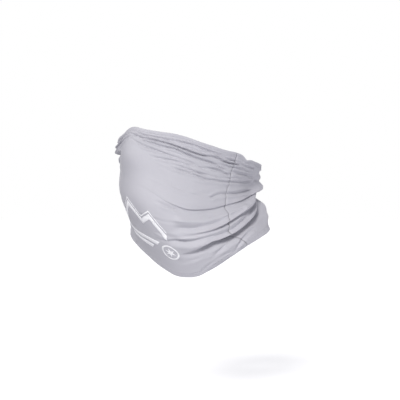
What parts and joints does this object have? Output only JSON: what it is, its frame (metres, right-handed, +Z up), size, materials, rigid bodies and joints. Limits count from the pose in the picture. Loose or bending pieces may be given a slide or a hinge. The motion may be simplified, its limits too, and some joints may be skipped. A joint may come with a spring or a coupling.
{
  "type": "neck gaiter",
  "caption": "Light grey stretch-knit tube worn up over the nose and bunched at the nape, with side seams, hems and white printed marks.",
  "frame": {"origin": "on the axis of the wearer's neck, level with the lowest point of the bottom hem", "axes": "+Z up along the neck, towards the head; the wearer faces -Y; the wearer's left is +X"},
  "size_m": [0.167, 0.2264, 0.18],
  "materials": {
    "knit": "smooth fine stretch knit with a soft sheen",
    "thread": "matte polyester sewing thread",
    "print": "white screen-printed ink, satin",
    "label": "plain woven satin ribbon"
  },
  "bodies": {
    "root": {"front_panel": "knit", "back_panel": "knit", "left_seam_overlock": "thread", "right_seam_overlock": "thread", "top_hem_stitching": "thread", "bottom_hem_stitching": "thread", "ridge_mark": "print", "upper_mark_bar": "print", "lower_mark_bar": "print", "badge_ring": "print", "badge_star": "print", "care_label": "label"}
  },
  "joints": []
}
